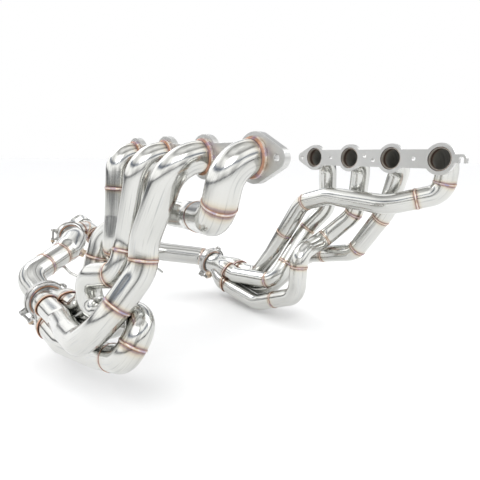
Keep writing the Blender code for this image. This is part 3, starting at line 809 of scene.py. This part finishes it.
def turned(shape, at, profile, start, end):
    """A profile of (radius, height) turned through part of a circle, with its two ends closed."""
    rows = []
    for i in range(BAND_STEPS + 1):
        angle = radians(start + (end - start) * i / BAND_STEPS)
        rows.append(shape.row([at(radius * cos(angle), radius * sin(angle), height)
                               for radius, height in profile]))
    shape.bar(rows)


def half_band(prefix, at, axes, pipe_radius, side):
    """Half of the clamp: a V channel under a flat strap, with its lugs and hinge knuckle."""
    rim = pipe_radius + CLAMP_RIM
    bolt_line = pipe_radius + BOLT_LINE
    pin_line = pipe_radius + PIN_LINE
    channel = [(rim + 1.0, -3.2), (rim + 1.0, 3.2), (rim - 3.8, 6.4), (rim - 3.5, 7.8), (rim + 2.4, 5.0),
               (rim + 3.2, 4.0), (rim + 3.2, -4.0), (rim + 2.4, -5.0), (rim - 3.5, -7.8), (rim - 3.8, -6.4)]
    strap = [(rim + 3.3, -6.8), (rim + 3.3, 6.8), (rim + 3.8, 7.0), (rim + 4.3, 6.8), (rim + 4.3, -6.8),
             (rim + 3.8, -7.0)]
    shape = Shape()
    first = 0 if side > 0 else 180
    for profile, gap in ((channel, 9), (strap, 8)):
        turned(shape, at, profile, first + gap, first + 180 - gap)

    if side > 0:
        outline = [(rim + 2.0, 9.8), (rim + 7.0, 9.8)]
        outline += [(bolt_line + x, BOLT_PIVOT + y) for x, y in arc(0.0, 4.6, -80, 76, 12)]
        outline += [(rim + 6.5, 19.6), (rim + 0.9, 19.2)]
        hole = [(bolt_line + 2.45 * cos(a), BOLT_PIVOT + 2.45 * sin(a)) for a in whole_turn(20)]
        shape.plate([outline, hole], 3.0, lambda x, y, depth: at(x, y, 4.5 + depth))
        shape.plate([outline, hole], 3.0, lambda x, y, depth: at(x, y, -7.5 + depth))
    else:
        fork = [(7.5, rim + 1.2), (7.5, rim + 15.0), (6.5, rim + 16.4), (4.6, rim + 16.4),
                (3.8, rim + 15.6), (3.8, rim + 8.6), (2.6, rim + 8.0)]
        outline = fork + [(-across, out) for across, out in reversed(fork)]
        shape.plate([outline], 4.0, lambda z, x, depth: at(x, -9.5 - depth, z))

    low, high = (0.4, 7.6) if side > 0 else (-7.6, -0.4)
    profile = [(2.45, low), (3.7, low), (4.2, low + 0.5), (4.2, high - 0.5), (3.7, high), (2.45, high)]
    shape.lathe(at(-pin_line, 0, 0), axes[2], profile, 28, closed=True)
    root = [(-rim - 3.0, side * 9.5), (-rim - 4.2, side * 9.3), (-pin_line - 2.6, side * 3.4),
            (-pin_line + 2.2, side * 2.9), (-rim - 2.6, side * 6.4)]
    shape.plate([root], high - low, lambda x, y, depth: at(x, y, low + depth))
    node = f"{prefix}_{'pivot' if side > 0 else 'fork'}_half"
    shape.piece(f"{node}_band", clamp_finish, node, bevel=0.25)


def moving_body(prefix, part):
    """The CAD body that a clamp's moving piece rides on."""
    return f"{prefix.removesuffix('_vband')}_{part}"


def t_bolt(prefix, at, axes, pipe_radius):
    """The swinging bolt: trunnion, pins and a threaded shank."""
    pivot = at(pipe_radius + BOLT_LINE, BOLT_PIVOT, 0)
    shape = Shape()
    half = [(4.0, 3.7), (3.5, 4.2), (2.0, 4.2), (2.0, 6.8), (1.6, 7.2), (0.01, 7.2)]
    trunnion = [(radius, -height) for radius, height in reversed(half)] + half
    shape.lathe(pivot, axes[2], trunnion, 28)
    profile = [(3.0, 0.0), (3.0, 24.0)]
    for k in range(13):
        profile += [(3.0, 24.4 + k * BOLT_PITCH), (2.55, 24.4 + (k + 0.5) * BOLT_PITCH)]
    profile += [(2.9, 41.0), (2.3, 42.0), (0.01, 42.0)]
    shape.lathe(pivot, -axes[1], profile, 24)
    node = f"{prefix}_t_bolt"
    shape.piece(f"{node}_body", bolt_finish, node, moving_body(prefix, "t_bolt"), sharp=25)


def clamp_nut(prefix, at, pipe_radius):
    """A flanged hexagon nut with chamfered corners."""
    flat = 5.35
    rings = [(5.3, 0.0, False), (6.1, 0.3, False), (6.1, 1.1, False), (6.2, 1.5, True), (6.2, 5.6, True),
             (5.4, 6.5, True), (3.9, 6.5, False), (3.5, 6.1, False), (3.5, 0.4, False), (3.9, 0.0, False)]
    shape = Shape()
    rows = []
    for radius, height, hexagonal in rings:
        row = []
        for angle in whole_turn(60):
            limit = flat / cos((angle + pi / 6) % (pi / 3) - pi / 6)
            r = min(radius, limit) if hexagonal else radius
            row.append(at(pipe_radius + BOLT_LINE + r * sin(angle), -NUT_SEAT - height,
                          r * cos(angle)))
        rows.append(shape.row(row))
    shape.skin(rows + rows[:1])
    node = f"{prefix}_nut"
    shape.piece(f"{node}_body", bung_finish, node, moving_body(prefix, "nut"), sharp=28)


def hinge_pin(prefix, at, axes, pipe_radius):
    """The pin through both halves' knuckles."""
    shape = Shape()
    half = [(2.0, 8.1), (1.5, 8.6), (0.01, 8.6)]
    profile = [(radius, -height) for radius, height in reversed(half)] + half
    shape.lathe(at(-pipe_radius - PIN_LINE, 0, 0), axes[2], profile, 24)
    node = f"{prefix}_hinge_pin"
    shape.piece(f"{node}_body", bolt_finish, node)


def v_band(prefix, centre, pipe_axis, bolt_side, pipe_radius):
    """A whole clamped joint. `bolt_side` is roughly where the T-bolt is."""
    z_axis = pipe_axis.normalized()
    x_axis = square_to(bolt_side, z_axis).normalized()
    y_axis = z_axis.cross(x_axis)
    axes = (x_axis, y_axis, z_axis)

    def at(x, y, z):
        return centre + x_axis * x + y_axis * y + z_axis * z

    for side in (-1, 1):
        clamp_ring(prefix, at, axes, pipe_radius, side)
        half_band(prefix, at, axes, pipe_radius, side)
    t_bolt(prefix, at, axes, pipe_radius)
    clamp_nut(prefix, at, pipe_radius)
    hinge_pin(prefix, at, axes, pipe_radius)


# ---- fittings
BUNG_RADIUS = 11.5
BUNG_WELD_RADIUS = 11.9
BUNG_PITCH = 1.5


def sensor_bung(node, root, direction, sunk, proud, host_axis, host_radius):
    """A threaded boss with a chamfered rim, and the weld round its foot."""
    threads = []
    for k in range(6):
        threads += [(8.3, proud - 2.6 - k * BUNG_PITCH), (8.9, proud - 3.35 - k * BUNG_PITCH)]
    profile = [(BUNG_RADIUS, sunk), (BUNG_RADIUS, proud - 0.9), (10.7, proud), (9.6, proud),
               (8.8, proud - 1.4), *threads, (8.4, sunk)]
    shape = Shape()
    shape.lathe(root, direction, profile, 48, closed=True)
    shape.piece(f"{node}_boss", bung_finish, node, sharp=25)

    around = direction.cross(host_axis).normalized()
    lengthwise = around.cross(direction)
    points, outs, acrosses = [], [], []
    for angle in whole_turn(60):
        out = around * cos(angle) + lengthwise * sin(angle)
        rise = sqrt(host_radius ** 2 - (BUNG_WELD_RADIUS * cos(angle)) ** 2)
        points.append(root + direction * rise + out * BUNG_WELD_RADIUS)
        outs.append((direction + out).normalized())
        acrosses.append((direction - out).normalized())
    beads = Shape()
    bead(beads, points, outs, acrosses, 2.2, 1.5)
    beads.weld_piece(f"{node}_weld", node)


ROD_RADIUS = 4.0


def hanger_rod(node, corners, radii):
    """A bent bar with rounded ends."""
    line = Line(route(corners, radii))
    shape = Shape()
    rows = []
    tip = [(0.0, 0.4), (0.6, 2.4), (1.8, 3.6)]
    stations = tip + [(distance, ROD_RADIUS) for distance in line.stations(4.0, line.length - 4.0)]
    stations += [(line.length - distance, radius) for distance, radius in reversed(tip)]
    for distance, radius in stations:
        centre, _, across = line.at(distance)
        row = circle(centre, across, radius, 20)
        rows.append(shape.row(row, 0.5 if distance < 12 else 0.0))
    shape.bar(rows)
    shape.piece(f"{node}_bar", pipe_finish, node)
    beads = Shape()
    ring_bead(beads, line, 2.4, ROD_RADIUS, 1.9, 1.3)
    beads.weld_piece(f"{node}_weld", node)


# ---- pipes behind the collectors
def radius_between(stations):
    """An outer radius that changes smoothly between (distance along the pipe, radius) stations."""
    def radius(distance):
        for (start, first), (end, last) in zip(stations, stations[1:]):
            if distance <= end:
                part = max((distance - start) / (end - start), 0.0)
                return first + (last - first) * smooth(part)
        return stations[-1][1]
    return radius


def pipes(names, line, radius_at, cuts, extra_welds=()):
    """Lengths of pipe along a line. Their welds come back as a shape that can take more."""
    ends = [0.0, *cuts, line.length]
    welds = [6.0, *cuts, *extra_welds, line.length - 6.0]
    for node, start, end in zip(names, ends, ends[1:]):
        shape = Shape()
        sweep(shape, line, start, end, radius_at, welds=welds, sides=PIPE_SIDES)
        shape.piece(f"{node}_tube", pipe_finish, node)
    beads = Shape()
    for distance in (*cuts, *extra_welds):
        ring_bead(beads, line, distance, radius_at(distance) - 0.1, 2.5, 1.1)
    return beads


def merge_pipe():
    """The pipe from the right collector to the merge joint, with its wider outlet elbow."""
    joint = RIGHT_COLLECTOR[1]
    along = collector_axes(RIGHT_COLLECTOR)[0]
    line = Line(route([joint + along * JOINT_GAP, joint + along * 34, (-134, 715, -303), (-5, 805, -265),
                       (37, 870, -247), MERGE_JOINT - REARWARD * JOINT_GAP], [45, 42, 70, 60]))
    radius = radius_between([(8, OUTLET_RADIUS), (26, PIPE_RADIUS), (224, PIPE_RADIUS),
                             (252, MERGE_ELBOW_RADIUS), (300, MERGE_ELBOW_RADIUS), (345, PIPE_RADIUS)])
    beads = pipes(["merge_inlet_elbow", "merge_mid_pipe", "merge_outlet_elbow"], line, radius, (156, 222))
    v_flange_beads(beads, line, OUTLET_RADIUS, PIPE_RADIUS)
    seam_bead(beads, line, 224, line.length - 12, radius, Vector((0.03, -0.83, -0.54)))
    beads.weld_piece("merge_pipe_welds", "merge_mid_pipe")
    sensor_bung("merge_sensor_bung", Vector((3, 818, -262)), Vector((0.78, -0.39, -0.5)).normalized(), 32, 47,
                Vector((0.53, 0.83, 0.17)), MERGE_ELBOW_RADIUS)
    hanger_rod("merge_hanger_rod", [(-27, 786, -307.5), (-14, 772, -327), (12, 745, -343), (24, 736, -372)],
               [16, 20])


def crossover():
    """The pipe from the left collector, and the Y that brings both sides into the outlet."""
    joint = LEFT_COLLECTOR[1]
    along = collector_axes(LEFT_COLLECTOR)[0]
    bend = Vector((155, 990, -285))
    toward_outlet = Vector((-22, 95, 32)).normalized()
    y_start = bend + toward_outlet * 22
    y_end = bend + toward_outlet * 106
    line = Line(route([joint + along * JOINT_GAP, joint + along * 43, (330, 845, -328), bend,
                       y_start - toward_outlet * 0.3], [48, 110, 36]))
    radius = radius_between([(10, OUTLET_RADIUS), (36, PIPE_RADIUS)])
    beads = pipes(["crossover_reducer", "crossover_pipe"], line, radius, (44,), (line.length - 1.0,))
    v_flange_beads(beads, line, OUTLET_RADIUS)

    junction = bend + toward_outlet * 70
    corner = MERGE_JOINT + REARWARD * 51
    into_y = (junction - corner).normalized()
    stub = junction - into_y * 54
    branch = Line(route([MERGE_JOINT + REARWARD * JOINT_GAP, corner, stub - into_y * 0.3], [45]))
    branch_beads = pipes(["branch_pipe"], branch, lambda distance: PIPE_RADIUS, (), (branch.length - 0.6,))
    v_flange_beads(branch_beads, branch, PIPE_RADIUS)
    branch_beads.weld_piece("branch_pipe_welds", "branch_pipe")
    y_body(y_start, y_end, stub, junction, beads)
    beads.weld_piece("crossover_welds", "crossover_pipe")
    outlet_sleeve(y_end - toward_outlet * 12, toward_outlet)
    hanger_rod("crossover_hanger_rod", [(300, 870, -356), (300, 868, -380), (322, 850, -402)], [16])


BARREL_RADIUS = 33.2
BARREL_WALL = 2.0


def y_body(y_start, y_end, stub, junction, beads):
    """The Y: a main barrel with a branch let into its side, and the weld round the crotch."""
    main_axis = (y_end - y_start).normalized()
    branch_axis = (junction - stub).normalized()
    main_line = Line(route([y_start, y_end], []))
    shape = Shape()
    sweep(shape, main_line, 0.0, main_line.length, lambda distance: BARREL_RADIUS, BARREL_WALL, (0.0,),
          PIPE_SIDES)
    shape.piece("y_junction_barrel", pipe_finish, "y_junction")

    def reach(origin):
        """How far along the branch a line from here meets the barrel."""
        across_ray = square_to(branch_axis, main_axis)
        across_offset = square_to(origin - y_start, main_axis)
        a = across_ray.length_squared
        b = across_ray.dot(across_offset)
        c = across_offset.length_squared - BARREL_RADIUS ** 2
        return (-b - sqrt(b * b - a * c)) / a

    across = crosswise([branch_axis])[0]
    stub_shape = Shape()
    foot = circle(stub, across, PIPE_RADIUS, 72)
    inner_foot = circle(stub, across, PIPE_RADIUS - TUBE_WALL, 72)
    outer, inner = [], []
    for j in range(9):
        part = j / 8
        tint = max(0.2, 1.0 - 3.0 * min(part, 1.0 - part))
        outer.append(stub_shape.row([p + branch_axis * (reach(p) + 1.0) * part for p in foot], tint))
        inner.append(stub_shape.row([p + branch_axis * (reach(p) + 0.6) * part for p in inner_foot], tint))
    stub_shape.wall(outer, inner)
    stub_shape.piece("y_junction_branch", pipe_finish, "y_junction", replaces=False)
    points = [p + branch_axis * reach(p) for p in foot]
    outs, acrosses = [], []
    for p, point in zip(foot, points):
        radial = (p - stub).normalized()
        barrel = square_to(point - y_start, main_axis).normalized()
        outs.append((radial + barrel).normalized())
        acrosses.append((radial - barrel).normalized())
    bead(beads, points, outs, acrosses, 3.4, 2.2)


def outlet_sleeve(start, direction):
    """The slip-joint sleeve, with a rolled rim at each end."""
    profile = [(34.0, 0.0), (35.0, -0.3), (36.0, 0.3), (36.4, 1.6), (36.1, 3.2), (35.7, 4.6), (35.6, 30.5),
               (35.9, 32.5), (36.4, 34.5), (36.4, 36.6), (35.8, 37.9), (34.8, 38.0), (34.0, 37.2)]
    shape = Shape()
    shape.lathe(start, direction, profile, 72, closed=True)
    shape.piece("outlet_sleeve_body", pipe_finish, "outlet_sleeve")


# ---- studio
def add_camera():
    """The photograph's view: position in metres, and yaw, pitch and roll in degrees."""
    yaw, pitch, roll = radians(39.475), radians(11.455), radians(0.628)
    forward = Vector((sin(yaw) * cos(pitch), cos(yaw) * cos(pitch), -sin(pitch)))
    level = Vector((cos(yaw), -sin(yaw), 0.0))
    upright = level.cross(forward)
    right = level * cos(roll) + upright * sin(roll)
    up = upright * cos(roll) - level * sin(roll)
    camera = bpy.data.cameras.new("camera")
    camera.lens = 31.17
    camera.sensor_width = 36.0
    camera.clip_end = 50.0
    obj = add_object("camera", camera)
    turn = Matrix((right, up, -forward)).transposed().to_4x4()
    obj.matrix_world = Matrix.Translation((-0.3635, -0.57204, 0.0022)) @ turn
    bpy.context.scene.camera = obj


def add_light(name, place, aim, size, power):
    """A soft box, in metres and watts."""
    lamp = bpy.data.lights.new(name, "AREA")
    lamp.shape = "RECTANGLE"
    lamp.size, lamp.size_y = size
    lamp.energy = power
    obj = add_object(name, lamp)
    direction = Vector(aim) - Vector(place)
    obj.rotation_euler = direction.to_track_quat("-Z", "Y").to_euler()
    obj.location = place


FLOOR_DROP = 0.012
FLOOR_REACH = 45.0


def add_floor():
    """A plain pale floor just below the system."""
    low = cad_box[0][2] - FLOOR_DROP
    corners = [(-1, -1), (1, -1), (1, 1), (-1, 1)]
    mesh = bpy.data.meshes.new("floor")
    mesh.from_pydata([(x * FLOOR_REACH, y * FLOOR_REACH, low) for x, y in corners], [], [(0, 1, 2, 3)])
    shader = Shader("pale_floor", metallic=0.0)
    mottle = shader.noise(shader.coordinates((0.002, 0.002, 0.002)))
    shader.colour(shader.mix(mottle, (0.985, 0.985, 0.985), (0.965, 0.965, 0.965)))
    shader.surface.inputs["Roughness"].default_value = 0.8
    shader.surface.inputs["Specular IOR Level"].default_value = 0.0
    mesh.materials.append(shader.material)
    floor = add_object("floor", mesh)


def add_surround():
    """White behind the object, and for its reflections a bright room with darker bands and patches."""
    world = bpy.data.worlds.new("studio")
    bpy.context.scene.world = world
    world.use_nodes = True
    nodes = Nodes(world.node_tree)
    toward = nodes.node("ShaderNodeTexCoord").outputs["Generated"]
    parts = nodes.node("ShaderNodeSeparateXYZ")
    nodes.link(toward, parts.inputs["Vector"])
    height = nodes.add(nodes.times(parts.outputs["Z"], 0.5), 0.5)
    dark, cool = (0.10, 0.11, 0.13), (0.16, 0.20, 0.28)
    bands = nodes.ramp(height, [(0.0, 1.1), (0.50, 1.1), (0.522, dark), (0.538, dark), (0.565, 1.45),
                                (0.69, 1.6), (0.735, cool), (0.752, cool), (0.80, 1.5), (0.90, 1.6),
                                (0.935, 0.6), (1.0, 1.6)])
    patches = nodes.ramp(nodes.noise(toward, 1.7, 1.0), [(0.34, 0.50), (0.50, 1.0)])
    room = nodes.mix(1.0, bands, patches, "MULTIPLY")
    seen = nodes.node("ShaderNodeLightPath").outputs["Is Camera Ray"]
    nodes.link(nodes.mix(seen, room, (1.0, 1.0, 1.0)), nodes.tree.nodes["Background"].inputs["Color"])


def add_lights():
    """Three large soft boxes, and the plain display of colours."""
    add_light("key", (-2.2, -2.0, 2.6), (0.2, 0.3, -0.2), (2.2, 1.4), 38)
    add_light("fill", (2.8, -0.8, 1.6), (0.2, 0.3, -0.2), (1.6, 2.0), 20)
    add_light("rear", (-0.4, 3.2, 2.2), (0.2, 0.4, -0.2), (2.4, 1.2), 26)
    bpy.context.scene.view_settings.view_transform = "Standard"


def build():
    """The studio and every piece."""
    add_camera()
    add_floor()
    add_surround()
    add_lights()
    head_flange("right", Vector((0.0, 0.0, 0.0)), Vector((-1.0, 0.0, 0.0)))
    head_flange("left", Vector((BANK_SPACING, BANK_STAGGER, 0.0)), Vector((1.0, 0.0, 0.0)))
    primaries()
    collector("right", RIGHT_COLLECTOR)
    collector("left", LEFT_COLLECTOR)
    merge_pipe()
    crossover()

    along, right, up = collector_axes(RIGHT_COLLECTOR)
    sensor_bung("right_sensor_bung", RIGHT_COLLECTOR[0] + along * 36, (right + up * 0.18).normalized(),
                40, 56, along, 42.0)
    v_band("right_vband", RIGHT_COLLECTOR[1], along, Vector((-0.83, 0.0, -0.55)), OUTLET_RADIUS)
    along, right, up = collector_axes(LEFT_COLLECTOR)
    sensor_bung("left_sensor_bung", LEFT_COLLECTOR[0] + along * 84, (-right * 0.8 - up * 0.6).normalized(),
                35, 50, along, 38.6)
    v_band("left_vband", LEFT_COLLECTOR[1], along, Vector((-0.45, 0.0, -0.89)), OUTLET_RADIUS)
    v_band("merge_vband", MERGE_JOINT, REARWARD, Vector((-0.99, 0.0, 0.1)), PIPE_RADIUS)

    spike_finish = plate_material("merge_spike", (0.50, 0.49, 0.47), 0.38)
    for side in BANKS:
        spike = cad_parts[f"{side}_merge_spike"]
        for slot in spike.material_slots:
            slot.material = spike_finish


build()
